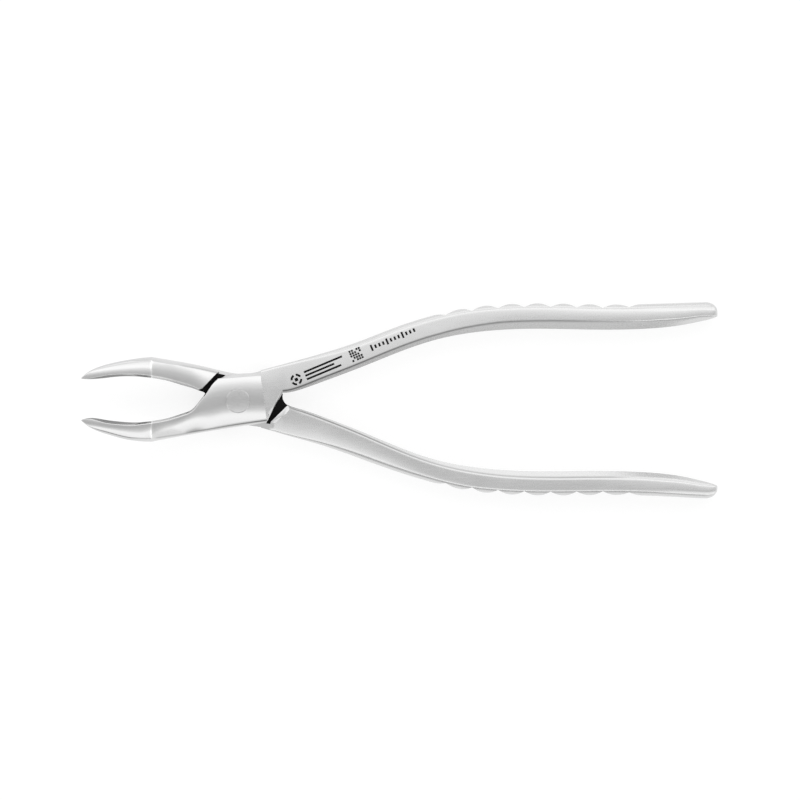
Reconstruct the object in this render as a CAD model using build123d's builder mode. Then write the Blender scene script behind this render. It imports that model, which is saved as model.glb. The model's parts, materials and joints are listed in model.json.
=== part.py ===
from build123d import *
import os

# Bayonet root extraction forceps: two forged levers that cross in a lap joint,
# and the rivet that they turn on. Millimetres.
# X runs along the instrument, from the beak tips (-X) to the handle ends (+X).
# Y runs across the opening, Z up through the thickness of the joint.
# The origin is on the rivet's axis, at the flat underside of the joint.

# joint
joint_height = 9.0
lap_height = joint_height / 2
lap_clearance = 0.04
mirror_line = 0.45          # the two levers mirror each other about this Y
plate_chamfer = 0.5

# rivet
head_radius = 3.55
head_depth = 1.8
journal_radius = 2.6
running_clearance = 0.03
tail_chamfer = 0.25
tail_recess = 0.02
head_crown = 0.12
crown_radius = (head_radius**2 + head_crown**2) / (2 * head_crown)

# shank and knee, seen from the side
knee_x = -25.8              # crease on the upper side
knee_top = 20.1
knee_under_x = -28.3
knee_under = 13.1
shank_start_top_x = -12.6
shank_start_under_x = -15.9

# finger scallops on the outer side of each grip
scallop_start_x = 61.5
scallop_pitch = 7.88
scallop_count = 7
scallop_depth = 1.15
end_scallop_depth = 0.4
scallop_waste = 4.0

# the bottom lever's grip spreads a little more towards its end
splay_start_x = 112.0
bottom_splay = 0.017        # per millimetre of length

# hollow along the inner face of each beak
hollow_radius = 6.0

clear_below = -5.0          # plan cuts start here and pass through everything
clear_through = 40.0


def side(y, lever):
    """The Y of a point given for the top lever, on either lever."""
    return y if lever == "top" else 2 * mirror_line - y


def spread(points, lever):
    """A plan outline given for the top lever, on either lever."""
    return [(x, side(y, lever)) for x, y in points]


def slice_across(x, inner, outer, floor, roof, inner_bevel, outer_bevel, lever):
    """One slice across a lever: a box with its four corners bevelled."""
    inward = 1 if outer > inner else -1
    inner_y, inner_z = inner_bevel
    outer_y, outer_z = outer_bevel
    corners = [
        (inner, floor + inner_z),
        (inner, roof - inner_z),
        (inner + inward * inner_y, roof),
        (outer - inward * outer_y, roof),
        (outer, roof - outer_z),
        (outer, floor + outer_z),
        (outer - inward * outer_y, floor),
        (inner + inward * inner_y, floor),
    ]
    with BuildSketch(Plane.YZ.offset(x)) as cross_section:
        with BuildLine():
            Polyline(*[(side(y, lever), z) for y, z in corners], close=True)
        make_face()
    return cross_section.sketch.face()


def splay(x, lever):
    """How much further out the bottom lever's grip lies at x."""
    return bottom_splay * max(0, x - splay_start_x) if lever == "bottom" else 0.0


def handle_slices(lever):
    """The handle, from inside the joint to where its end starts to round."""
    # x, inner, outer, height, inner bevel (y, z), outer bevel (y, z)
    stations = [
        (4.0, -0.8, 8.45, 9.0, (0.7, 0.7), (1.0, 1.2)),
        (15.0, 2.4, 11.4, 9.0, (0.9, 0.9), (1.1, 1.5)),
        (24.6, 5.5, 14.1, 8.8, (1.2, 1.3), (1.4, 2.0)),
        (36.6, 10.0, 18.0, 8.5, (1.4, 1.7), (1.6, 2.3)),
        (48.6, 14.8, 22.6, 8.4, (1.5, 2.0), (1.8, 2.5)),
        (60.6, 18.7, 26.1, 8.6, (1.5, 2.4), (1.9, 2.7)),
        (76.0, 21.2, 28.8, 8.9, (2.2, 2.8), (2.0, 2.8)),
        (93.0, 21.65, 29.35, 9.0, (2.5, 3.0), (2.0, 2.8)),
        (112.0, 21.4, 28.95, 9.0, (2.6, 3.0), (2.0, 2.8)),
        (128.0, 22.2, 29.1, 8.8, (2.3, 2.8), (2.0, 2.8)),
        (139.0, 23.8, 29.7, 8.4, (1.4, 2.3), (2.0, 2.8)),
    ]
    slices = []
    for x, inner, outer, height, inner_bevel, outer_bevel in stations:
        low = lap_height - height / 2
        high = lap_height + height / 2
        sides = (inner + splay(x, lever), outer + splay(x, lever))
        slices.append(slice_across(x, *sides, low, high, inner_bevel, outer_bevel, lever))
    return slices


def handle_end_slices(lever):
    """The rounded end of the handle."""
    # x, inner, outer, underside, top, inner bevel, outer bevel
    stations = [
        (139.0, 23.8, 29.7, 0.3, 8.7, (1.4, 2.3), (2.0, 2.8)),
        (142.2, 24.7, 29.0, 0.7, 8.3, (1.2, 2.3), (1.8, 2.6)),
        (143.8, 25.6, 27.2, 2.0, 7.0, (0.4, 1.0), (0.4, 1.0)),
    ]
    slices = []
    for x, inner, outer, *rest in stations:
        sides = (inner + splay(x, lever), outer + splay(x, lever))
        slices.append(slice_across(x, *sides, *rest, lever))
    return slices


def shank_roof(x):
    """Height of the shank's upper side."""
    slope = (knee_top - joint_height) / (shank_start_top_x - knee_x)
    return min(joint_height + slope * max(0, shank_start_top_x - x), knee_top)


def shank_floor(x):
    """Height of the shank's underside."""
    slope = knee_under / (shank_start_under_x - knee_under_x)
    return slope * max(0, shank_start_under_x - x)


def shank_slices(lever):
    """The shank, from inside the joint up to the knee."""
    # x, inner, outer, inner bevel
    stations = [
        (-6.0, -1.0, -8.6, 0.6),
        (shank_start_top_x, -2.6, -10.0, 0.7),
        (shank_start_under_x, -3.6, -10.4, 0.8),
        (-20.9, -5.1, -11.4, 0.9),
        (knee_x, -6.0, -12.2, 0.9),
        (knee_under_x, -6.3, -12.05, 0.9),
    ]
    slices = []
    for x, inner, outer, bevel in stations:
        ends = (shank_floor(x), shank_roof(x))
        slices.append(slice_across(x, inner, outer, *ends, (bevel, bevel), (1.1, 1.3), lever))
    return slices


def beak_slices(lever):
    """The beak, from the knee to its point."""
    # x, inner, outer, underside, top, inner bevel, outer bevel
    stations = [
        (knee_under_x, -6.3, -12.05, knee_under, knee_top, (0.9, 0.9), (1.1, 1.3)),
        (-33.0, -6.35, -11.55, 13.9, 19.9, (0.8, 0.8), (1.3, 1.6)),
        (-37.0, -6.0, -10.55, 14.4, 19.6, (0.6, 0.6), (1.4, 1.6)),
        (-41.4, -5.4, -9.2, 15.0, 19.1, (0.5, 0.5), (1.4, 1.4)),
        (-44.4, -5.35, -7.75, 15.6, 18.5, (0.4, 0.4), (1.0, 1.0)),
        (-46.8, -5.6, -6.1, 16.6, 17.4, (0.1, 0.1), (0.1, 0.1)),
    ]
    return [slice_across(*station, lever) for station in stations]


def plate_sketch(lever):
    """The half of the joint that laps over the other lever, in plan."""
    top_web = [(-15.0, -3.1), (-12.6, -1.4), (-9.9, 1.9), (-8.4, 4.5), (-6.0, 6.9)]
    bottom_web = [(-15.0, -3.1), (-11.4, -2.3), (-9.5, -0.6), (-8.4, 3.0), (-6.0, 6.9)]
    far_edge = [(-6.0, 6.9), (1.8, 8.2), (7.2, 9.1), (12.4, 10.0)]
    top_crotch = [(12.4, 10.0), (12.3, 2.7), (8.4, -6.6)]
    bottom_crotch = [(12.4, 10.0), (14.7, 2.3), (13.5, -0.6), (8.4, -6.6)]
    near_edge = [(8.4, -6.6), (1.8, -7.5), (-6.6, -8.7), (-15.0, -10.2), (-15.0, -3.1)]
    with BuildSketch() as plate:
        with BuildLine():
            Spline(*spread(top_web if lever == "top" else bottom_web, lever))
            Polyline(*spread(far_edge, lever))
            Polyline(*spread(top_crotch if lever == "top" else bottom_crotch, lever))
            Polyline(*spread(near_edge, lever))
        make_face()
    return plate.sketch.face()


def recess_sketch(lever):
    """The room that one lever leaves for the other's plate, in plan."""
    shank_shoulder = [(0.0, -14.9), (-5.7, -8.1), (-10.0, -3.0), (-11.5, -2.3), (-14.0, -1.2)]
    handle_shoulder = [(5.0, 16.0), (9.6, 9.6), (14.3, 3.3), (15.8, 2.3), (19.0, 1.5)]
    with BuildSketch() as recess:
        with BuildLine():
            Polyline(
                *spread(shank_shoulder, lever),
                *spread([(-14.0, 16.0)] + handle_shoulder, lever),
                *spread([(19.0, -14.9)], lever),
                close=True,
            )
        make_face()
    return recess.sketch.face()


def crest(x):
    """The Y of the grip's outer side, over the tops of the scallops."""
    rise = [(61.5, 26.2), (70.2, 28.05), (78.0, 28.85), (93.6, 29.3), (117.0, 28.9)]
    for (x0, y0), (x1, y1) in zip(rise, rise[1:]):
        if x <= x1:
            return y0 + (y1 - y0) * (x - x0) / (x1 - x0)
    return rise[-1][1]


def scallop_sketch(lever):
    """The waste outside the row of finger scallops, in plan."""
    valleys = []
    for index in range(scallop_count + 1):
        x = scallop_start_x + scallop_pitch * index
        depth = end_scallop_depth if index in (0, scallop_count) else scallop_depth
        valleys.append((x, crest(x) - depth))
    first, last = valleys[0], valleys[-1]
    beyond = [(x, crest(x) + scallop_waste) for x, _ in (last, first)]
    with BuildSketch() as waste:
        with BuildLine():
            for start, end in zip(valleys, valleys[1:]):
                middle = (start[0] + end[0]) / 2
                ThreePointArc(*spread([start, (middle, crest(middle)), end], lever))
            Polyline(*spread([last] + beyond + [first], lever))
        make_face()
    return waste.sketch.face()


def hollow_slices(lever):
    """Round cutter for the hollow along a beak, following its inner face."""
    # x, inner face, depth of the hollow
    stations = [(-29.5, -6.35, 0.9), (-37.0, -6.0, 1.0), (-46.0, -5.2, 0.25)]
    middle_z = (knee_under + knee_top) / 2
    slices = []
    for x, inner, depth in stations:
        centre = side(inner - depth + hollow_radius, lever)
        with BuildSketch(Plane.YZ.offset(x)) as hollow:
            with Locations((centre, middle_z)):
                Circle(hollow_radius)
        slices.append(hollow.sketch.face())
    return slices


def make_lever(lever):
    """A whole lever: handle, joint plate, shank and beak, forged in one piece."""
    top = lever == "top"
    plate_base = lap_height + lap_clearance if top else 0.0
    recess_base = clear_below if top else lap_height - lap_clearance
    recess_height = lap_height + lap_clearance - clear_below
    outer_face = Axis.Z if top else -Axis.Z

    with BuildPart() as plate:
        with BuildSketch(Plane.XY.offset(plate_base)):
            add(plate_sketch(lever))
        extrude(amount=lap_height - lap_clearance)
        chamfer(plate.faces().sort_by(outer_face)[-1].edges(), plate_chamfer)

    with BuildPart() as body:
        loft(sections=handle_slices(lever))
        loft(sections=handle_end_slices(lever), ruled=True)
        loft(sections=shank_slices(lever), ruled=True)
        loft(sections=beak_slices(lever))
        with BuildSketch(Plane.XY.offset(clear_below)):
            add(scallop_sketch(lever))
        extrude(amount=clear_through, mode=Mode.SUBTRACT)
        with BuildSketch(Plane.XY.offset(recess_base)):
            add(recess_sketch(lever))
        extrude(amount=recess_height, mode=Mode.SUBTRACT)
        add(plate.part)
        loft(sections=hollow_slices(lever), mode=Mode.SUBTRACT)
    return body


with BuildPart() as top_lever:
    add(make_lever("top").part)
    with Locations((0, 0, joint_height)):
        CounterBoreHole(journal_radius, head_radius, head_depth)
top_lever.part.label = "top_lever"

with BuildPart() as bottom_lever:
    add(make_lever("bottom").part)
    with Locations((0, 0, lap_height)):
        Hole(journal_radius + running_clearance)
bottom_lever.part.label = "bottom_lever"

with BuildPart() as pivot_rivet:
    with BuildSketch(Plane.XY.offset(tail_recess)):
        Circle(journal_radius)
    extrude(amount=joint_height - head_depth)
    chamfer(pivot_rivet.edges().sort_by(Axis.Z)[0], tail_chamfer)
    with BuildSketch(Plane.XY.offset(joint_height - head_depth)):
        Circle(head_radius)
    extrude(amount=head_depth + head_crown)
    with Locations((0, 0, joint_height + head_crown - crown_radius)):
        Sphere(crown_radius, mode=Mode.INTERSECT)
pivot_rivet.part.label = "pivot_rivet"

os.makedirs("parts", exist_ok=True)
for piece in (top_lever, bottom_lever, pivot_rivet):
    export_step(piece.part, f"parts/{piece.part.label}.step")
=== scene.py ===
import json
import math

import bmesh
import bpy
import numpy as np
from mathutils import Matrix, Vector


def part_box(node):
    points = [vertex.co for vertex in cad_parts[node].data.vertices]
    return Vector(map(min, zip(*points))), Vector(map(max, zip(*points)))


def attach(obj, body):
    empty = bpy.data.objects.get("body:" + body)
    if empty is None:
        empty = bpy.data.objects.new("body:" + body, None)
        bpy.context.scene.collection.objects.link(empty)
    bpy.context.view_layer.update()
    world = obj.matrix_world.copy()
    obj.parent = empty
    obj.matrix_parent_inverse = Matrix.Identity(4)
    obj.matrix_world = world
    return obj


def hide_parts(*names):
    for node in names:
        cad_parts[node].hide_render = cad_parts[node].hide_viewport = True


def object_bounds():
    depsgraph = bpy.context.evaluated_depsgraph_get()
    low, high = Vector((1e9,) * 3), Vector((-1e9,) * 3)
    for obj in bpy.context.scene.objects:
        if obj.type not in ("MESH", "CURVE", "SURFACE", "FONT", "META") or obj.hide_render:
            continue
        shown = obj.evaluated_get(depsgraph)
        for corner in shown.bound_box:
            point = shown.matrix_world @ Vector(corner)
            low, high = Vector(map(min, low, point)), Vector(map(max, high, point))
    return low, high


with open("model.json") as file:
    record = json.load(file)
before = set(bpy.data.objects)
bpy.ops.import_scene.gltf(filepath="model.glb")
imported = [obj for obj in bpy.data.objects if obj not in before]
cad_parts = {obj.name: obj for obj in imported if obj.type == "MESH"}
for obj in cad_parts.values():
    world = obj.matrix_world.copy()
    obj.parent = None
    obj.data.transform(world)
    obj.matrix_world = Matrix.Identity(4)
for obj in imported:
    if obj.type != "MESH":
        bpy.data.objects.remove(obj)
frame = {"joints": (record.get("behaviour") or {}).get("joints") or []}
cad_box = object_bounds()

# Shapes are worked out in millimetres, in the frame's own axes, and made in metres.
MM = 0.001
top_low, top_high = (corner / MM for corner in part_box("top_lever"))
bottom_low, bottom_high = (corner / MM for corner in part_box("bottom_lever"))
rivet_low, rivet_high = (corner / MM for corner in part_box("pivot_rivet"))

TIP_X = top_low.x
END_X = top_high.x
KNEE_TOP = top_high.z
LAP = frame["joints"][0]["pos_m"][2] / MM   # the two halves of the joint meet here
JOINT_TOP = 2 * LAP
LAP_GAP = 0.04                              # each half stays this far from the lap
HEAD_RADIUS = (rivet_high.x - rivet_low.x) / 2
KNEE_X = TIP_X + 21.0
UNDER_KNEE_X = KNEE_X - 2.5
UNDER_KNEE = KNEE_TOP - 7.0
RISE_X = KNEE_X + 13.2                      # the upper side starts to rise here
UNDER_RISE_X = RISE_X - 3.3


PAPER_GLOW = 0.80

# ---------------------------------------------------------------- materials

def node_tree(material):
    """A material's nodes, with a maker of new nodes and of links between them."""
    material.use_nodes = True
    tree = material.node_tree

    def add(kind, inputs=(), **settings):
        node = tree.nodes.new("ShaderNode" + kind)
        for key, value in settings.items():
            setattr(node, key, value)
        for key, value in dict(inputs).items():
            if isinstance(value, bpy.types.NodeSocket):
                tree.links.new(value, node.inputs[key])
            else:
                node.inputs[key].default_value = value
        return node
    return tree, tree.nodes["Principled BSDF"], add


def stretched_noise(add, stretch, scale, detail):
    """Noise in millimetres, drawn out by stretch along X, Y and Z."""
    place = add("TexCoord").outputs["Object"]
    sized = add("Mapping", {"Vector": place, "Scale": [1 / (MM * s) for s in stretch]})
    return add("TexNoise", {"Vector": sized.outputs[0], "Scale": scale, "Detail": detail,
                            "Roughness": 0.6}).outputs[0]


def blend_of(add, start, *parts):
    """start plus each signal, measured from its middle (0.5), times its weight."""
    total = start - sum(weight * 0.5 for _, weight in parts)
    for signal, weight in parts:
        total = add("Math", {0: signal, 1: weight, 2: total}, operation="MULTIPLY_ADD").outputs[0]
    return total


def edge_mask(add, rounded, gain):
    """1 on a sharp edge, 0 on a flat."""
    flat = add("NewGeometry").outputs["Normal"]
    match = add("VectorMath", {0: rounded, 1: flat}, operation="DOT_PRODUCT").outputs["Value"]
    away = add("Math", {0: 1.0, 1: match}, operation="SUBTRACT").outputs[0]
    return add("Math", {0: away, 1: gain}, operation="MULTIPLY", use_clamp=True).outputs[0]


def steel(name, tone, roughness, grain_size, grain_depth):
    """Stainless steel: blasting grain, brushing streaks along the part, faint stains,
    brighter edges that are partly wear and partly a painted highlight, a painted shade line along the crisp edges,
    and a painted highlight along the knee crease."""
    material = bpy.data.materials.new(name)
    tree, shader, add = node_tree(material)
    grain = stretched_noise(add, (grain_size,) * 3, 1.0, 3.0)
    streaks = stretched_noise(add, (5.0, 0.35, 0.35), 1.0, 4.0)
    stains = stretched_noise(add, (14.0, 6.0, 6.0), 1.0, 2.0)
    hairs = stretched_noise(add, (9.0, 0.09, 0.09), 1.0, 1.0)
    scratches = add("MapRange", {0: hairs, 1: 0.66, 2: 0.74, 3: 0.0, 4: 1.0}).outputs[0]
    # Per-vertex painted light: a painted shade line along the crisp edges, and a painted highlight (negative
    # values) along the knee crease.
    painted_light_mask = add("Attribute", attribute_name="painted_shade_and_highlight").outputs["Fac"]
    rounded = add("Bevel", {"Radius": 0.12 * MM}, samples=4).outputs[0]
    wear_and_highlight = edge_mask(add, rounded, 6.0)
    bright = blend_of(add, tone, (grain, 0.05), (streaks, 0.06), (stains, 0.05), (scratches, 0.03))
    # Brighter edges: partly wear, partly a painted highlight.
    bright = add("Math", {0: wear_and_highlight, 1: 0.10, 2: bright}, operation="MULTIPLY_ADD").outputs[0]
    # Darkens the base colour on the painted shade line and brightens it on the painted knee highlight.
    painted_light_scale = add("Math", {0: painted_light_mask, 1: -0.92, 2: 1.0}, operation="MULTIPLY_ADD").outputs[0]
    bright = add("Math", {0: bright, 1: painted_light_scale}, operation="MULTIPLY", use_clamp=True).outputs[0]
    tree.links.new(bright, shader.inputs["Base Color"])
    rough = blend_of(add, roughness, (grain, 0.12), (streaks, 0.12), (stains, 0.08), (wear_and_highlight, -0.08),
                     (painted_light_mask, 0.25), (scratches, 0.05))
    tree.links.new(rough, shader.inputs["Roughness"])
    height = blend_of(add, 0.5, (grain, 0.6), (streaks, 0.35), (scratches, -0.3))
    bump = add("Bump", {"Strength": 0.35, "Distance": grain_depth * MM, "Height": height,
                        "Normal": rounded})
    tree.links.new(bump.outputs[0], shader.inputs["Normal"])
    shader.inputs["Metallic"].default_value = 1.0
    return material


def turned_steel(name, tone, roughness, pitch):
    """Steel with fine lathe rings about the pivot, under a light grain."""
    material = bpy.data.materials.new(name)
    tree, shader, add = node_tree(material)
    place = add("TexCoord").outputs["Object"]
    sized = add("Mapping", {"Vector": place, "Scale": [1 / MM] * 3}).outputs[0]
    rings = add("TexWave", {"Vector": sized, "Scale": 0.3 / pitch, "Distortion": 0.6,
                            "Detail": 2.0}, wave_type="RINGS", rings_direction="Z").outputs["Fac"]
    grain = stretched_noise(add, (0.3, 0.3, 0.3), 1.0, 3.0)
    stains = stretched_noise(add, (3.0, 3.0, 3.0), 1.0, 2.0)
    rounded = add("Bevel", {"Radius": 0.1 * MM}, samples=4).outputs[0]
    wear_and_highlight = edge_mask(add, rounded, 6.0)
    # Brighter edges: partly wear, partly a painted highlight.
    bright = blend_of(add, tone, (grain, tone * 0.12), (stains, tone * 0.10), (wear_and_highlight, tone * 0.2))
    tree.links.new(bright, shader.inputs["Base Color"])
    rough = blend_of(add, roughness, (grain, 0.10), (rings, 0.08), (stains, 0.08))
    tree.links.new(rough, shader.inputs["Roughness"])
    height = blend_of(add, 0.5, (rings, 0.6), (grain, 0.5))
    bump = add("Bump", {"Strength": 0.3, "Distance": 0.006 * MM, "Height": height, "Normal": rounded})
    tree.links.new(bump.outputs[0], shader.inputs["Normal"])
    shader.inputs["Metallic"].default_value = 1.0
    return material


SATIN, GROUND, PAINTED_SHADE_LAP, MARK, RIVET, GRIPPING = range(6)
finishes = [
    steel("satin_handle", 0.68, 0.38, 0.30, 0.004),
    steel("ground_joint", 0.66, 0.27, 0.32, 0.005),
    # Near-black painted shade for the faces in the lap and the bores, which lie in shade inside the joint.
    turned_steel("painted_shade_lap_face", 0.016, 0.50, 0.35),
    turned_steel("laser_mark", 0.015, 0.60, 5.0),
    turned_steel("rivet_head", 0.66, 0.28, 0.22),
    steel("gripping_face", 0.30, 0.45, 0.25, 0.020),
]


def keep_used_finishes(thing):
    """Drops the finishes that no face of the piece has."""
    mesh = thing.data
    used = sorted({face.material_index for face in mesh.polygons})
    kept = [finishes[index] for index in used]
    places = [used.index(face.material_index) for face in mesh.polygons]
    mesh.materials.clear()
    for material in kept:
        mesh.materials.append(material)
    mesh.polygons.foreach_set("material_index", places)


# ---------------------------------------------------------------- curves

def spline(*points):
    """A natural cubic through the points, as a function of x."""
    x, y = (np.array(values, float) for values in zip(*points))
    step = np.diff(x)
    count = len(x)
    matrix = np.eye(count)
    right = np.zeros(count)
    for i in range(1, count - 1):
        matrix[i, i - 1:i + 2] = step[i - 1], 2 * (step[i - 1] + step[i]), step[i]
        right[i] = 6 * ((y[i + 1] - y[i]) / step[i] - (y[i] - y[i - 1]) / step[i - 1])
    bend = np.linalg.solve(matrix, right)

    def value(at):
        at = min(max(at, x[0]), x[-1])
        i = min(int(np.searchsorted(x, at, side="right")) - 1, count - 2)
        i = max(i, 0)
        a, b, h = x[i + 1] - at, at - x[i], step[i]
        return ((bend[i] * a**3 + bend[i + 1] * b**3) / (6 * h)
                + (y[i] / h - bend[i] * h / 6) * a
                + (y[i + 1] / h - bend[i + 1] * h / 6) * b)
    return value


def joined(corner_x, left, right):
    """Two curves that meet at a corner."""
    return lambda x: left(x) if x < corner_x else right(x)


def ramp(*points):
    """Straight lines between the points, as a function of x."""
    xs, ys = zip(*points)
    return lambda x: float(np.interp(x, xs, ys))


def ease(x, start, end):
    """0 before start, 1 after end, smooth between."""
    t = min(max((x - start) / (end - start), 0.0), 1.0)
    return t * t * (3 - 2 * t)


# ---------------------------------------------------------------- section of a lever

def bezier(start, control, end, t):
    """Points of a quadratic curve at the values t."""
    t = np.asarray(t, float)[:, None]
    start, control, end = (np.array(p, float) for p in (start, control, end))
    return (1 - t)**2 * start + 2 * t * (1 - t) * control + t * t * end


def crown_drop(across, centre, curl, near, far):
    """How far a crowned face lies below its highest line, which is at centre or the end nearest to it."""
    highest = min(max(centre, near), far)
    return curl * ((across - centre)**2 - (highest - centre)**2)


ROLL_WIDTH = 0.9        # a rolled inner edge starts this far in from it


def half_section(width, roof, s):
    """Upper half of a section: from the inner side, over the top, to the outer side.

    u runs from the inner silhouette (0) to the outer one (width).
    """
    edge_u = s["lip"] + s["bevel_y"]
    outer_u = width - s["band_y"]

    def face(u):
        rolled = max(edge_u + ROLL_WIDTH - u, 0.0)**2 * s["roll"] / (2 * ROLL_WIDTH)
        return roof - crown_drop(u, s["centre"], s["curl"], edge_u, outer_u) - rolled

    inner_edge = np.array([edge_u, face(edge_u)])
    outer_edge = np.array([outer_u, face(outer_u)])
    foot = np.array([s["lip"], inner_edge[1] - s["bevel_z"]])
    side_top = np.array([width, outer_edge[1] - s["band_z"]])
    soft = min(s["edge_radius"], (outer_u - edge_u) * 0.2)
    top = np.array([(u, face(u)) for u in np.linspace(edge_u + soft, outer_u - soft, 28)])
    back = foot - inner_edge
    near_start = inner_edge + back * min(s["edge_radius"] / np.linalg.norm(back), 0.4)
    bevel = np.linspace(foot, near_start, 6)[:-1]
    near = bezier(near_start, inner_edge, top[0], np.linspace(0, 1, 8))[:-1]
    end_slope = 2 * s["curl"] * (outer_u - s["centre"])
    corner = np.array([width, outer_edge[1] - end_slope * s["band_y"]])
    control = (outer_edge + side_top) / 2
    control = control + (corner - control) * s["round"]
    first_t = min(s["edge_radius"] / np.linalg.norm(side_top - outer_edge), 0.3)
    band = bezier(outer_edge, control, side_top, np.linspace(first_t, 1, 16))
    far = bezier(top[-1], outer_edge, band[0], np.linspace(0, 1, 8))[1:-1]
    return np.vstack([bevel, near, top, far, band])


def section(inner, outer, floor, roof, s):
    """A closed ring of (y, z) points round a lever at one station."""
    width = abs(outer - inner)
    direction = 1 if outer > inner else -1
    s = dict(s, centre=direction * (s["centre"] - inner))
    upper = half_section(width, roof, s)
    lower = half_section(width, -floor, dict(s, lip=0.0)) * (1, -1)
    lower = lower[::-1]
    side = np.linspace(upper[-1], lower[0], 9)[1:-1]
    t = np.linspace(0, 1, 26)[1:-1]
    face = lower[-1] + (upper[0] - lower[-1]) * t[:, None]
    face[:, 0] += s["gouge"] * 4 * t * (1 - t) + s["teeth"](t) * (4 * t * (1 - t))**0.5
    ring = np.vstack([upper, side, lower, face])
    ring[:, 0] = inner + direction * ring[:, 0]
    return ring


def make_mesh(name, rings, finish=0):
    """A closed skin through the rings, which are lists of 3-D points, in one of the finishes."""
    count = len(rings[0])
    points = np.vstack(rings) * MM
    faces = []
    for i in range(len(rings) - 1):
        for j in range(count):
            k = (j + 1) % count
            faces.append((i * count + j, i * count + k, (i + 1) * count + k, (i + 1) * count + j))
    faces.append(tuple(range(count))[::-1])
    last = (len(rings) - 1) * count
    faces.append(tuple(range(last, last + count)))
    mesh = bpy.data.meshes.new(name)
    mesh.from_pydata(points.tolist(), [], faces)
    bm = bmesh.new()
    bm.from_mesh(mesh)
    bmesh.ops.remove_doubles(bm, verts=bm.verts, dist=1e-7)
    bmesh.ops.recalc_face_normals(bm, faces=bm.faces)
    bm.to_mesh(mesh)
    bm.free()
    for material in finishes:
        mesh.materials.append(material)
    mesh.polygons.foreach_set("material_index", [finish] * len(mesh.polygons))
    thing = bpy.data.objects.new(name, mesh)
    bpy.context.scene.collection.objects.link(thing)
    return thing


def stations(*spans):
    """Places along x: (start, end, step) for each span, in order."""
    places = []
    for start, end, step in spans:
        count = max(int(math.ceil(abs(end - start) / step)), 1)
        places.extend(np.linspace(start, end, count + 1)[:-1])
    places.append(spans[-1][1])
    return places


def prism(name, outline, low, high, finish=0):
    """A straight-sided block over a plan outline."""
    return make_mesh(name, [[(x, y, z) for x, y in outline] for z in (low, high)], finish)


def wedge(name, path, width, depth, top, finish=0):
    """Cutter for a chamfer along a plan path, with the metal on its left.

    top is the height of the metal there, or a function of x and y that gives it.
    """
    rings = []
    for i, point in enumerate(path):
        ahead = Vector(path[min(i + 1, len(path) - 1)]) - Vector(path[max(i - 1, 0)])
        inward = Vector((-ahead.y, ahead.x)).normalized()
        level = top(*(Vector(point) + inward * width)) if callable(top) else top
        ring = []
        for reach, rise in ((-0.3, -0.3), (1.6, 1.6), (-0.3, 1.6)):
            x, y = Vector(point) + inward * (width * reach)
            ring.append((x, y, level - depth + depth * rise))
        rings.append(ring)
    return make_mesh(name, rings, finish)


def turned(name, profile, height=None, finish=0, sides=128):
    """A round block about the pivot, from its lowest to its highest (radius, z) points.

    With height, z is measured from the surface height(x, y) instead of from zero.
    """
    rings = []
    for radius, z in profile:
        ring = []
        for turn in np.linspace(0, 2 * math.pi, sides, endpoint=False):
            x, y = radius * math.cos(turn), radius * math.sin(turn)
            ring.append((x, y, z + (height(x, y) if height else 0.0)))
        rings.append(ring)
    return make_mesh(name, rings, finish)


def combine(thing, other, operation):
    """Joins other to thing, or cuts it away, and removes other."""
    change = thing.modifiers.new("combine", "BOOLEAN")
    change.operation = operation
    change.solver = "MANIFOLD"
    change.object = other
    graph = bpy.context.evaluated_depsgraph_get()
    mesh = bpy.data.meshes.new_from_object(thing.evaluated_get(graph))
    thing.modifiers.clear()
    old = thing.data
    thing.data = mesh
    bpy.data.meshes.remove(old)
    bpy.data.objects.remove(other)
    return thing


def cut(thing, other):
    return combine(thing, other, "DIFFERENCE")


def gathered(things):
    """Several separate blocks as one mesh."""
    bm = bmesh.new()
    for thing in things:
        bm.from_mesh(thing.data)
    first = things[0]
    bm.to_mesh(first.data)
    bm.free()
    for thing in things[1:]:
        bpy.data.objects.remove(thing)
    return first


# ---------------------------------------------------------------- outlines of the two levers
# Each is the Y of a silhouette or an edge, along X. "inner" faces the gap between
# the levers. The beaks and the handles of one lever lie on opposite sides of X.
# "crown_line" is the highest line of the beak, shank and plate, and "curl" how
# sharply they fall away from it.

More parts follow.
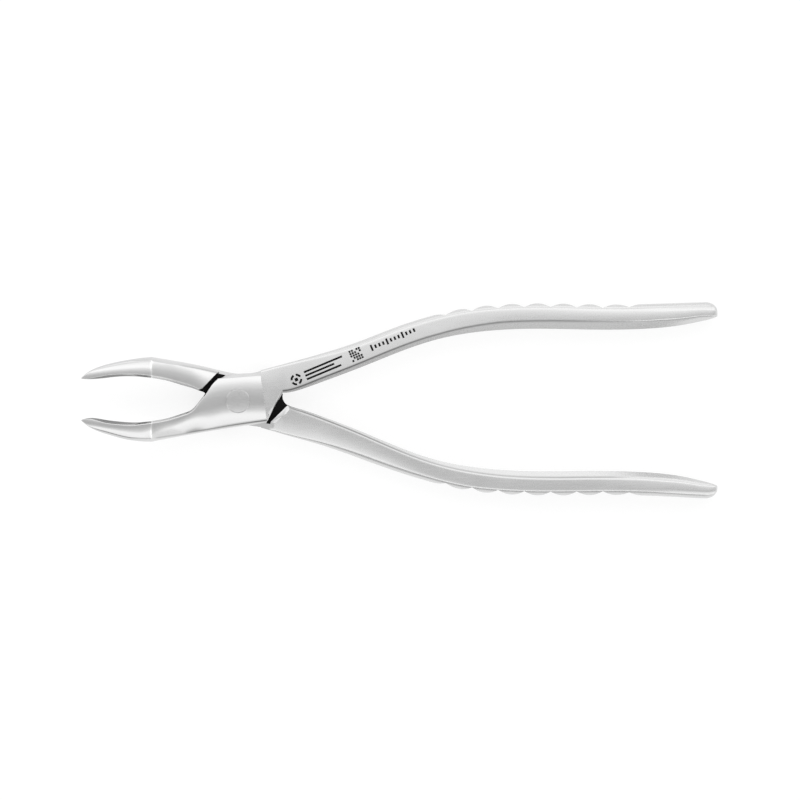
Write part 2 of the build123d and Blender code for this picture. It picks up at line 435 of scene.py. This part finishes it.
TOP = {
    "handle_outer": spline((4, 8.5), (12.6, 10.8), (24.6, 14.1), (36.6, 18.0), (48.6, 22.6),
                           (59.4, 25.9), (67.5, 27.7), (76.0, 28.75), (90.6, 29.3), (112.5, 28.95),
                           (132.6, 29.4), (144.0, 29.75)),
    "handle_inner": joined(
        12.6,
        ramp((4, -6.5), (8.7, -6.5), (10.9, -2.2), (12.6, 0.9)),
        spline((12.6, 0.9), (13.2, 2.1), (13.9, 2.45), (15.0, 2.55), (18.6, 3.4), (24.6, 5.5), (36.6, 10.0),
               (48.6, 14.8), (60.6, 18.7), (72.6, 20.8), (84.6, 21.6), (96.6, 21.6),
               (108.6, 21.4), (120.6, 21.6), (132.6, 22.7), (144.0, 25.1))),
    "bevel": ramp((14, 0.7), (24.6, 1.2), (42.6, 1.5), (60.6, 1.5), (78.6, 2.3), (96.6, 2.5),
                  (108.6, 2.6), (126.6, 2.2), (138.6, 1.4), (144.0, 0.3)),
    "slope_in": ramp((7, -0.14), (15, 0.05), (24, 0.09), (60, 0.10), (82, 0.05), (144, -0.02)),
    "roll": lambda x: 0.0,
    "slope_out": ramp((7, 0.15), (24, 0.13), (42, 0.14), (60, 0.13), (78, 0.15), (93, 0.17),
                      (108, 0.20), (144, 0.22)),
    "steepness": ramp((104, 0.9), (136, 1.9)),
    "front_outer": joined(
        KNEE_X,
        spline((TIP_X, -5.95), (-45.6, -7.0), (-42.6, -8.75), (-38.4, -10.2), (-33.0, -11.6),
               (-29.4, -12.05), (KNEE_X, -12.2)),
        spline((KNEE_X, -12.2), (-18.6, -10.85), (-8.9, -9.15), (1.8, -7.45), (10.0, -6.5))),
    "front_inner": joined(
        -6.0,
        spline((TIP_X, -5.6), (-44.4, -5.1), (-40.2, -5.55), (-36.0, -6.1), (-31.0, -6.42),
               (KNEE_X, -6.0), (-20.9, -5.1), (-16.2, -3.6), (-13.2, -2.0), (-11.4, 0.2),
               (-9.6, 2.5), (-8.0, 4.95), (-6.0, 6.95)),
        spline((-6.0, 6.95), (-5.0, 7.35), (-3.8, 7.75), (-2.6, 7.95), (1.2, 8.25), (4.6, 8.5),
               (7.2, 9.1), (10.0, 9.9))),
    "plate_edge": ramp((-6.0, 6.75), (10.0, 7.95)),
    "outer_band": ramp((TIP_X, 0.1), (-40.0, 0.8), (KNEE_X, 0.9), (-16.8, 0.5), (2.0, 0.7),
                       (9.0, 0.85)),
    "crown_line": spline((TIP_X, -5.8), (-41.0, -6.8), (-35.4, -7.2), (-28.0, -6.6), (-23.4, -5.8),
                         (-17.4, -4.6), (-12.9, -2.3), (-8.4, -0.4), (-2.0, 0.8), (2.0, 1.0),
                         (10.0, 1.0)),
    "curl": spline((TIP_X, 0.09), (-41.0, 0.08), (-35.0, 0.050), (-30.0, 0.034), (KNEE_X, 0.036),
                   (-21.0, 0.062), (-17.0, 0.062), (-12.9, 0.038), (-9.0, 0.022), (-5.0, 0.02),
                   (0.0, 0.02), (10.0, 0.02)),
    "seam": [(6.9, 12.0), (6.9, 7.8), (8.7, -6.0), (8.9, -12.0)],
    "lip": 0.65,
    # Strength, along x, of the painted shade line beside the crisp edge.
    "painted_shade_and_highlight": ramp((-25, 0.0), (-24, 0.3), (-17, 0.35), (5, 0.75), (12, 0.9), (30, 0.9), (45, 0.75), (60, 0.65),
                    (100, 0.55), (118, 0.1)),
}
BOTTOM = {
    "handle_outer": spline((4, -7.2), (9.6, -8.8), (15.0, -10.4), (24.6, -13.1), (36.6, -17.25),
                           (48.6, -21.5), (59.4, -24.7), (67.5, -26.6), (76.0, -27.65),
                           (90.0, -28.3), (112.5, -28.2), (132.6, -28.85), (140.0, -29.2),
                           (144.0, -29.2)),
    "handle_inner": joined(
        13.6,
        ramp((4, 7.4), (9.0, 7.4), (13.6, 2.4)),
        spline((13.6, 1.6), (14.1, -0.2), (14.9, -1.15), (16.4, -1.75), (18.6, -2.4),
               (24.6, -4.4), (36.6, -9.0), (48.6, -14.0), (60.6, -18.0), (72.6, -20.1),
               (84.6, -21.0), (96.6, -21.1), (108.6, -21.0), (120.6, -21.3),
               (132.6, -22.5), (144.0, -25.2))),
    "bevel": ramp((14, 0.6), (24.6, 0.7), (42.6, 0.95), (60.6, 1.2), (78.6, 1.65), (96.6, 1.85),
                  (108.6, 1.85), (126.6, 1.7), (138.6, 1.1), (144.0, 0.3)),
    "slope_in": ramp((7, -0.14), (15, 0.0), (24, 0.0), (60, -0.02), (78, -0.05), (108, -0.08),
                     (126, -0.16), (144, -0.2)),
    "roll": ramp((14, 0.0), (20, 0.36), (112, 0.36), (130, 0.15), (144, 0.0)),
    "slope_out": ramp((7, 0.16), (24, 0.19), (45, 0.17), (60, 0.07), (78, 0.02), (144, 0.02)),
    "steepness": ramp((104, 0.78), (136, 1.2)),
    "front_outer": joined(
        KNEE_X,
        spline((TIP_X, 7.0), (-45.6, 8.1), (-42.6, 9.85), (-38.4, 11.2), (-34.2, 12.1),
               (-29.4, 12.85), (KNEE_X, 13.2)),
        spline((KNEE_X, 13.2), (-18.6, 12.0), (-8.9, 10.05), (-5.7, 9.25), (-2.3, 8.5), (1.8, 8.0),
               (10.0, 7.2))),
    "front_inner": joined(
        -6.0,
        spline((TIP_X, 6.65), (-44.4, 6.55), (-40.2, 6.85), (-36.0, 7.3), (-31.0, 7.38),
               (KNEE_X, 6.9), (-20.9, 6.0), (-16.2, 4.6), (-13.2, 3.7), (-11.0, 2.9),
               (-9.7, 2.1), (-8.7, 0.0), (-7.8, -2.8), (-6.0, -6.05)),
        spline((-6.0, -6.05), (1.8, -7.3), (10.0, -8.6))),
    "plate_edge": ramp((-6.0, -5.8), (10.0, -7.6)),
    "outer_band": ramp((TIP_X, 0.1), (-40.0, 0.9), (KNEE_X, 1.1), (-16.8, 1.1), (2.0, 0.8),
                       (9.0, 0.85)),
    "crown_line": spline((TIP_X, 6.75), (-41.0, 7.7), (-35.4, 8.1), (-28.0, 8.1), (-23.4, 7.7),
                         (-17.4, 6.5), (-12.9, 5.2), (-8.4, 1.9), (-2.0, 0.2), (2.0, -0.1),
                         (10.0, -0.1)),
    "curl": ramp((TIP_X, 0.09), (-41.0, 0.08), (-35.0, 0.065), (-28.0, 0.05), (-23.4, 0.05),
                 (-17.4, 0.04), (-12.9, 0.036), (-8.4, 0.02), (10.0, 0.02)),
    "seam": [(6.9, -11.1), (6.9, -6.9), (8.7, 6.9), (8.9, 12.9)],
    "lip": 0.4,
    # Strength, along x, of the painted shade line beside the crisp edge.
    "painted_shade_and_highlight": ramp((-18, 0.0), (-16, 0.2), (5, 0.4), (24, 0.7), (42, 0.6), (60, 0.32), (80, 0.3),
                    (100, 0.4), (112, 0.35), (118, 0.0)),
}

# ---------------------------------------------------------------- handles

grip_half = spline((4, 4.4), (8, 4.36), (15, 4.3), (24.6, 4.25), (36.6, 4.25), (48.6, 4.2),
                   (60.6, 4.3), (76, 4.42), (93, 4.5), (112, 4.5), (128, 4.4), (144, 4.15))
SCALLOP_FIRST = 62.3
SCALLOP_PITCH = 7.86
SCALLOP_BUMPS = 7
SCALLOP_DEPTH = 1.15
END_RADIUS = 2.4
END_PLAN = 3.6
NO_TEETH = np.zeros_like


def scallop(x):
    """How far the outer side is cut back at x."""
    place = (x - SCALLOP_FIRST) / SCALLOP_PITCH
    if not -0.5 < place < SCALLOP_BUMPS + 0.5:
        return 0.0
    across = abs(place - round(place)) * 2          # 0 in a valley, 1 on a bump
    depth = SCALLOP_DEPTH * (0.75 if round(place) in (0, SCALLOP_BUMPS) else 1.0)
    return depth * (1 - math.sin(across * math.pi / 2)**0.9)


def grip(x, lever):
    """The handle's inner and outer silhouettes, half its height, and its section at x."""
    inner, outer = lever["handle_inner"](x), lever["handle_outer"](x)
    direction = 1 if outer > inner else -1
    half = grip_half(x)
    into_end = max(0.0, (x - (END_X - END_PLAN)) / END_PLAN)
    rounding_in = 1 - math.sqrt(1 - into_end**2)
    outer -= direction * 2.9 * rounding_in
    inner += direction * 0.4 * rounding_in
    rounding = max(0.0, (x - (END_X - END_RADIUS)) / END_RADIUS)
    half -= 2.0 * (1 - math.sqrt(1 - rounding**2))
    width = abs(outer - inner)
    bevel = lever["bevel"](x)
    band = min(0.5 + 1.3 * ease(x, 10, 40), width * 0.35)
    slope_in, slope_out = lever["slope_in"](x), lever["slope_out"](x)
    curl = (slope_out - slope_in) / (2 * (width - bevel - band))
    shape = {
        "lip": 0.0,
        "bevel_y": bevel,
        "bevel_z": min(max(0.6, lever["steepness"](x) * bevel), 0.5 * half),
        "centre": inner + direction * (bevel - slope_in / (2 * curl)),
        "curl": curl,
        "band_y": band,
        "band_z": min(1.2 + 1.8 * ease(x, 10, 40), 0.7 * half),
        "round": 1.0,
        "gouge": 0.0,
        "teeth": NO_TEETH,
        "edge_radius": 0.3 + 0.6 * ease(x, 118, 134),
        "roll": lever["roll"](x),
    }
    return inner, outer, half, shape


def handle(name, lever):
    """The handle, from the seam of the joint to its rounded end."""
    rings = []
    for x in stations((4, 16, 0.4), (16, 58, 0.8), (58, 120, 0.25), (120, END_X - END_PLAN, 0.8),
                      (END_X - END_PLAN, END_X - 0.4, 0.15), (END_X - 0.4, END_X - 0.004, 0.03)):
        inner, outer, half, shape = grip(x, lever)
        ring = section(inner, outer, LAP - half, LAP + half, shape)
        direction = 1 if outer > inner else -1
        cutback = outer - direction * scallop(x)
        limit = np.minimum if direction > 0 else np.maximum
        ring[:, 0] = limit(ring[:, 0], cutback)
        rings.append([(x, y, z) for y, z in ring])
    return make_mesh(name, rings, SATIN)


def grip_top(x, y, lever):
    """Height of the handle's top face at a point."""
    inner, outer, half, shape = grip(x, lever)
    direction = 1 if outer > inner else -1
    u, centre = direction * (y - inner), direction * (shape["centre"] - inner)
    far = abs(outer - inner) - shape["band_y"]
    return LAP + half - crown_drop(u, centre, shape["curl"], shape["bevel_y"], far)


# ---------------------------------------------------------------- beak, shank and joint plate

BEND_SOFT = 6.0         # the bend up from the joint is eased over this height, each way
UNDER_BEND_SOFT = 4.0
HOLLOW_START = -29.0
TEETH_PITCH = 0.95
TEETH_DEPTH = 0.10


def eased_rise(line, soft):
    """A straight rise from zero whose start is rounded."""
    return (line + soft)**2 / (4 * soft) if abs(line) < soft else max(line, 0.0)


def roof(x):
    """Upper side of the beak, shank and plate."""
    slope = (KNEE_TOP - JOINT_TOP) / (RISE_X - KNEE_X)
    return JOINT_TOP + eased_rise(slope * (RISE_X - x), BEND_SOFT) if x >= KNEE_X else beak_roof(x)


def floor(x):
    """Underside of the beak, shank and plate."""
    slope = UNDER_KNEE / (UNDER_RISE_X - UNDER_KNEE_X)
    line = slope * (UNDER_RISE_X - x)
    return eased_rise(line, UNDER_BEND_SOFT) if x >= UNDER_KNEE_X else beak_floor(x)


beak_roof = spline((TIP_X, 17.4), (-44.4, 18.5), (-41.4, 19.1), (-37.0, 19.6), (-33.0, 19.85),
                   (KNEE_X, KNEE_TOP))
beak_floor = spline((TIP_X, 16.4), (-44.4, 15.6), (-41.4, 15.0), (-37.0, 14.4), (-33.0, 13.9),
                    (UNDER_KNEE_X, UNDER_KNEE))


def teeth(x, height):
    """Crossed serrations on the gripping face of a beak, as a function of the place up it."""
    strength = TEETH_DEPTH * ease(-x, 35.0, 37.5) * (1 - ease(-x, 45.0, 46.2))

    def depth(t):
        up = t * height
        rising = np.abs(((x + up) / TEETH_PITCH) % 1.0 - 0.5)
        falling = np.abs(((x - up) / TEETH_PITCH) % 1.0 - 0.5)
        return strength * (rising + falling - 0.5)
    return depth


def front(name, lever):
    """The beak, the shank and the plate that laps in the joint."""
    rings = []
    places = stations((TIP_X, -45.8, 0.1), (-45.8, -35.0, 0.15), (-35.0, UNDER_KNEE_X, 0.3),
                      (UNDER_KNEE_X, KNEE_X, 0.4), (KNEE_X, -17.0, 0.4), (-17.0, -6.0, 0.15),
                      (-5.999, 10.0, 0.5))
    for x in places:
        inner, outer = lever["front_inner"](x), lever["front_outer"](x)
        width = abs(outer - inner)
        slant = math.hypot(1, (lever["front_inner"](x + 0.05) - lever["front_inner"](x - 0.05)) / 0.1)
        in_plate = x > -6.0
        into_beak = ease(-x, 28.0, 32.5)
        to_tip = ease(-x, 39.0, -TIP_X)
        hollow = into_beak * (1 - to_tip)
        height = roof(x) - floor(x)
        if in_plate:
            bevel_y, bevel_z = abs(inner - lever["plate_edge"](x)), 3.7
        else:
            bevel_y = (0.25 + 0.4 * ease(-x, 10, 16)) * min(slant, 1.8) * (1 - 0.65 * into_beak)
            bevel_y *= 1 - 0.6 * to_tip
            bevel_z = min(0.8 * (1 - 0.5 * into_beak) * (1 - 0.6 * to_tip), height * 0.12)
        shape = {
            "lip": min(lever["lip"] * hollow, width * 0.3),
            "bevel_y": min(bevel_y, width * 0.2),
            "bevel_z": bevel_z,
            "centre": lever["crown_line"](x),
            "curl": lever["curl"](x),
            "band_y": min(lever["outer_band"](x), width * 0.3),
            "band_z": min(3.4, height * 0.32),
            "round": 0.25 + 0.6 * into_beak,
            "gouge": 0.8 * hollow,
            "teeth": teeth(x, height),
            "edge_radius": 0.2 * (1 - 0.6 * to_tip),
            "roll": 0.0,
        }
        ring = section(inner, outer, floor(x), roof(x), shape)
        rings.append([(x, y, z) for y, z in ring])
    nose = make_mesh(name, rings, GROUND)
    for polygon in nose.data.polygons:
        x, y, z = polygon.center / MM
        inside = abs(y - lever["front_inner"](x)) < 1.5 and abs(z - (roof(x) + floor(x)) / 2) < 2.6
        if TIP_X + 0.5 < x < HOLLOW_START and inside and abs(polygon.normal.y) > 0.6:
            if (polygon.normal.y > 0) == (lever is TOP):
                polygon.material_index = GRIPPING
    return nose


def boss_top(x, y, lever=TOP):
    """Height of the boss at a point near the pivot."""
    centre = lever["crown_line"](x)
    return JOINT_TOP - crown_drop(y, centre, lever["curl"](x), -9.0, 9.0)


def boss_underside(x, y):
    return JOINT_TOP - boss_top(x, y, BOTTOM)


# ---------------------------------------------------------------- joint

FAR = 40.0                  # reach of the cutting blocks beyond the metal
SEAM_OVERLAP = 0.05         # the handle runs this far under the plate's edge
COUNTERBORE_DEPTH = 1.8
JOURNAL_RADIUS = 2.6
TAIL_RECESS = 0.02

TOP_CUTS = {
    "shank_shoulder": [(0.0, -14.9), (-5.7, -8.1), (-10.0, -3.0), (-11.5, -2.3), (-14.0, -1.2)],
    "handle_shoulder": [(-14.0, 16.0), (5.3, 16.0), (9.95, 9.75), (14.6, 3.5), (15.9, 2.4),
                        (19.0, 1.5)],
    "crotch": [(13.4, 2.55), (12.7, 1.2), (12.15, 0.3), (11.1, -1.75), (8.5, -6.6), (7.2, -9.5),
               (7.2, -20), (24, -20), (24, 2.0), (15.2, 2.3)],
    "last": (19.0, -14.9),
}
BOTTOM_CUTS = {
    "shank_shoulder": [(0.0, 15.8), (-5.7, 9.0), (-10.7, 3.8), (-11.7, 3.4), (-14.0, 2.6)],
    "handle_shoulder": [(-14.0, -15.1), (4.9, -15.1), (9.45, -8.9), (9.55, -7.2), (9.9, -6.2),
                        (14.8, -1.38), (19.0, -0.6)],
    "crotch": [(13.35, 1.3), (13.45, 2.1), (8.5, 7.8), (7.2, 10.2), (7.2, 20), (24, 20), (24, -1.0),
               (15.6, -1.3), (14.7, -1.15), (14.0, -0.5), (13.5, 0.4)],
    "last": (19.0, 15.8),
}


def forge(name, lever, cuts, on_top):
    """A whole lever, with its half of the joint cut down to the lap."""
    body = handle(name, lever)
    nose = front("front", lever)
    seam = lever["seam"]
    cut(nose, prism("seam", seam + [(30, seam[-1][1]), (30, seam[0][1])], -FAR, FAR))
    root = [(x - SEAM_OVERLAP, y) for x, y in seam]
    cut(body, prism("root", root + [(-30, seam[-1][1]), (-30, seam[0][1])], -FAR, FAR))
    combine(body, nose, "UNION")
    low, high = (-FAR, LAP + LAP_GAP) if on_top else (LAP - LAP_GAP, FAR)
    outline = cuts["shank_shoulder"] + cuts["handle_shoulder"] + [cuts["last"]]
    cut(body, prism("crotch", cuts["crotch"], -FAR, FAR, SATIN))
    # The recess's cut faces take the near-black painted shade finish.
    cut(body, prism("recess", outline, low, high, PAINTED_SHADE_LAP))
    if on_top:
        cut(body, wedge("diagonal", [(8.1, -7.35), (11.1, -1.75), (12.15, 0.3), (13.6, 2.9)], 0.55, 0.22,
                        lambda x, y: grip_top(x, y, lever), SATIN))
    else:
        cut(body, wedge("shoulder", [(15.4, -0.8), (12.6, -3.55), (9.9, -6.2), (9.5, -8.0), (9.4, -10.0)],
                        1.15, 0.42, lambda x, y: grip_top(x, y, lever), SATIN))
        cut(body, wedge("lap_margin", [(-6.0, -6.05), (1.8, -7.3), (12.0, -8.9)], 1.6, 1.15,
                        LAP - LAP_GAP, GROUND))
        cut(body, wedge("left_margin", [(4.0, 7.75), (-2.3, 8.5), (-6.4, 9.4)], 1.0, 0.45,
                        LAP - LAP_GAP, GROUND))
        cut(body, wedge("left_shoulder", [(-11.1, 3.4), (-4.4, 10.35)], 0.4, 0.3, 9.7, GROUND))
    hole = HEAD_RADIUS + 0.01
    if on_top:
        step = JOINT_TOP - COUNTERBORE_DEPTH
        cut(body, turned("counterbore", [(hole, step), (hole, FAR)], finish=GROUND))
        cut(body, turned("rim", [(hole - 1, -0.07), (hole, -0.07), (hole + 0.36, 0.2)], boss_top, GROUND))
        # The bore walls take the near-black painted shade finish.
        cut(body, turned("bore", [(JOURNAL_RADIUS + 0.02, -FAR), (JOURNAL_RADIUS + 0.02, FAR)], finish=PAINTED_SHADE_LAP))
    else:
        bore = JOURNAL_RADIUS + 0.03
        # The bore walls take the near-black painted shade finish.
        cut(body, turned("bore", [(bore, -FAR), (bore, FAR)], finish=PAINTED_SHADE_LAP))
        cut(body, turned("rim", [(bore + 0.2, -0.15), (bore, 0.1), (bore - 1, 0.1)], boss_underside, GROUND))
    return body


def make_rivet(name):
    """The rivet: a head ground flush with the boss, the journal, and a flush tail."""
    step = JOINT_TOP - COUNTERBORE_DEPTH
    rim = HEAD_RADIUS - 0.12
    head = turned(name, [(HEAD_RADIUS, -COUNTERBORE_DEPTH + 0.6), (HEAD_RADIUS, -0.06), (rim, 0.0)]
                  + [(rim * share, 0.0) for share in (0.9, 0.75, 0.6, 0.45, 0.3, 0.15, 0.01)],
                  boss_top, RIVET)
    neck = turned("neck", [(HEAD_RADIUS, step + 0.02), (HEAD_RADIUS, JOINT_TOP - 0.9)], finish=RIVET)
    journal = turned("journal", [(JOURNAL_RADIUS, LAP), (JOURNAL_RADIUS, step + 0.3)], finish=RIVET)
    tail_rim = JOURNAL_RADIUS - 0.12
    tail = turned("tail", [(tail_rim * share, TAIL_RECESS) for share in (0.01, 0.3, 0.6, 0.85)]
                  + [(tail_rim, TAIL_RECESS), (JOURNAL_RADIUS, 0.12), (JOURNAL_RADIUS, LAP + 0.5)],
                  boss_underside, RIVET)
    for other in (neck, journal, tail):
        combine(head, other, "UNION")
    return head


# ---------------------------------------------------------------- marks

MARK_DEPTH = 0.05
MARK_START = (15.6, 5.6)
MARK_END = (52.0, 20.9)


def mark_outlines():
    """Generic index marks: a broken ring, bars, a block of dots and a row of ticks.

    Each is a plan outline (along the row of marks, across it), in millimetres.
    """
    def box(along, across, length, width):
        a, c = length / 2, width / 2
        return [(along - a, across - c), (along + a, across - c), (along + a, across + c), (along - a, across + c)]

    outlines = []
    for quarter in range(4):
        turns = np.radians(np.linspace(quarter * 90 + 14, quarter * 90 + 76, 8))
        rim = [(2.1 + 1.75 * math.cos(a), 1.75 * math.sin(a)) for a in turns]
        hub = [(2.1 + 1.1 * math.cos(a), 1.1 * math.sin(a)) for a in turns[::-1]]
        outlines.append(rim + hub)
    outlines.append(box(2.1, 0.0, 1.0, 1.0))
    for index, length in enumerate((12.4, 9.4, 11.2)):
        outlines.append(box(5.0 + length / 2, 1.15 - 1.15 * index, length, 0.6))
    for row in range(5):
        for column in range(5):
            if (row * 3 + column * 2) % 5 != 4:
                outlines.append(box(20.0 + 0.75 * column, 1.5 - 0.75 * row, 0.60, 0.60))
    for index in range(12):
        tall = index % 4 == 0
        outlines.append(box(26.6 + 1.25 * index, 0.0, 0.6, 1.9 if tall else 1.1))
    return outlines


def mark(body, lever):
    """Etches the marks a little way into the handle's top face."""
    start, end = Vector(MARK_START), Vector(MARK_END)
    ahead = (end - start).normalized()
    aside = Vector((-ahead.y, ahead.x))
    blocks = []
    for outline in mark_outlines():
        plan = [start + ahead * along + aside * across for along, across in outline]
        bottom = [(p.x, p.y, grip_top(p.x, p.y, lever) - MARK_DEPTH) for p in plan]
        top = [(x, y, z + 1.0) for x, y, z in bottom]
        blocks.append(make_mesh("mark", [bottom, top], MARK))
    cut(body, gathered(blocks))


# Width of the painted shade and highlight lines, strength of the painted highlight on the knee crease, and how far
# below the knee top that highlight reaches.
LINE_WIDTH = 0.26
RIDGE_SHINE = 0.35
RIDGE_DROP = 1.1


def paint_edge_shade_and_knee_highlight(thing, lever):
    """Stores a painted shade line along the crisp edges, the grip's inner edge and the shank's outer one, less a
    painted highlight along the knee crease.
    """
    direction = 1 if lever is TOP else -1
    values = []
    for vertex in thing.data.vertices:
        x, y, z = vertex.co / MM
        if x > lever["seam"][1][0] + 1.5:
            line, up = direction * lever["bevel"](x) + lever["handle_inner"](x), LAP
        else:
            line, up = direction * lever["outer_band"](x) + lever["front_outer"](x), LAP
        strength = lever["painted_shade_and_highlight"](x) if KNEE_X < x < 118 else 0.0
        on_ridge = z > KNEE_TOP - RIDGE_DROP
        # painted highlight along the knee crease, near its top
        knee = RIDGE_SHINE * math.exp(-((x - KNEE_X) / LINE_WIDTH)**2) if on_ridge else 0.0
        values.append(strength * math.exp(-((y - line) / LINE_WIDTH)**2) - knee if z > up else 0.0)
    attribute = thing.data.attributes.new("painted_shade_and_highlight", "FLOAT", "POINT")
    attribute.data.foreach_set("value", values)


top_lever = forge("top_lever_steel", TOP, TOP_CUTS, True)
mark(top_lever, TOP)
bottom_lever = forge("bottom_lever_steel", BOTTOM, BOTTOM_CUTS, False)
rivet = make_rivet("pivot_rivet_steel")
paint_edge_shade_and_knee_highlight(top_lever, TOP)
paint_edge_shade_and_knee_highlight(bottom_lever, BOTTOM)

for piece, body, node, slot in (
    (top_lever, "top_lever", "top_lever", "satin_steel_top"),
    (bottom_lever, "bottom_lever", "bottom_lever", "satin_steel_bottom"),
    (rivet, "top_lever", "pivot_rivet", "rivet_steel"),
):
    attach(piece, body)
    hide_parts(node)
    keep_used_finishes(piece)
    mesh = piece.data
    mesh.polygons.foreach_set("use_smooth", [True] * len(mesh.polygons))
    mesh.set_sharp_from_angle(angle=math.radians(20))
    print(piece.name, len(mesh.vertices), len(mesh.polygons), [m.name for m in mesh.materials])

# ---------------------------------------------------------------- stage, light and camera

floor_mesh = bpy.data.meshes.new("floor")
floor_mesh.from_pydata([(-3, -3, 0), (3, -3, 0), (3, 3, 0), (-3, 3, 0)], [], [(0, 1, 2, 3)])
floor_piece = bpy.data.objects.new("floor", floor_mesh)
floor_piece.location.z = cad_box[0].z - 0.0005
bpy.context.scene.collection.objects.link(floor_piece)
paper = bpy.data.materials.new("paper")
paper.use_nodes = True
paper_shader = paper.node_tree.nodes["Principled BSDF"]
paper_shader.inputs["Base Color"].default_value = (0.24, 0.24, 0.24, 1)
paper_shader.inputs["Roughness"].default_value = 0.9
paper_shader.inputs["Specular IOR Level"].default_value = 0.0
paper_shader.inputs["Emission Color"].default_value = (1, 1, 1, 1)
paper_shader.inputs["Emission Strength"].default_value = PAPER_GLOW
floor_mesh.materials.append(paper)


def light_tent():
    """Soft light from two long white walls beside the instrument, with a dimmer gap overhead.

    Each stop is an angle from straight up towards +Y, in degrees, and the brightness there.
    """
    stops = [(-90, 0.90), (-70, 0.80), (-57, 0.50), (-46, 0.42), (-35, 1.30), (-22, 1.46), (-15, 0.84),
             (-8, 0.64), (0, 0.67), (9, 0.78), (16, 1.05), (25, 1.56), (35, 1.45), (46, 1.08),
             (56, 1.12), (74, 1.35), (90, 1.35)]
    world = bpy.data.worlds.new("light_tent")
    bpy.context.scene.world = world
    world.use_nodes = True
    nodes, links = world.node_tree.nodes, world.node_tree.links
    direction = nodes.new("ShaderNodeTexCoord")
    axes = nodes.new("ShaderNodeSeparateXYZ")
    links.new(direction.outputs["Generated"], axes.inputs[0])
    angle = nodes.new("ShaderNodeMath")
    angle.operation = "ARCSINE"
    links.new(axes.outputs["Y"], angle.inputs[0])
    share = nodes.new("ShaderNodeMath")
    share.operation = "MULTIPLY_ADD"
    share.inputs[1].default_value = 1 / math.pi
    share.inputs[2].default_value = 0.5
    links.new(angle.outputs[0], share.inputs[0])
    brightness = nodes.new("ShaderNodeValToRGB")
    brightness.color_ramp.interpolation = "EASE"
    elements = brightness.color_ramp.elements
    top_level = max(level for _, level in stops)
    while len(elements) < len(stops):
        elements.new(0.5)
    for element, (degrees, level) in zip(elements, stops):
        element.position = degrees / 180 + 0.5
        element.color = (level / top_level,) * 3 + (1,)
    links.new(share.outputs[0], brightness.inputs[0])
    background = nodes["Background"]
    background.inputs["Strength"].default_value = top_level
    links.new(brightness.outputs["Color"], background.inputs["Color"])


light_tent()

VIEW_WIDTH = 240.0
VIEW_CENTRE = (48.6, 0.3)
camera_data = bpy.data.cameras.new("camera")
camera_data.lens = 1000
camera_data.sensor_width = 36
camera_data.clip_end = 20
camera = bpy.data.objects.new("camera", camera_data)
bpy.context.scene.collection.objects.link(camera)
distance = VIEW_WIDTH * MM * camera_data.lens / camera_data.sensor_width
camera.location = (VIEW_CENTRE[0] * MM, VIEW_CENTRE[1] * MM, LAP * MM + distance)
bpy.context.scene.camera = camera
bpy.context.scene.view_settings.view_transform = "Standard"

bpy.context.view_layer.update()
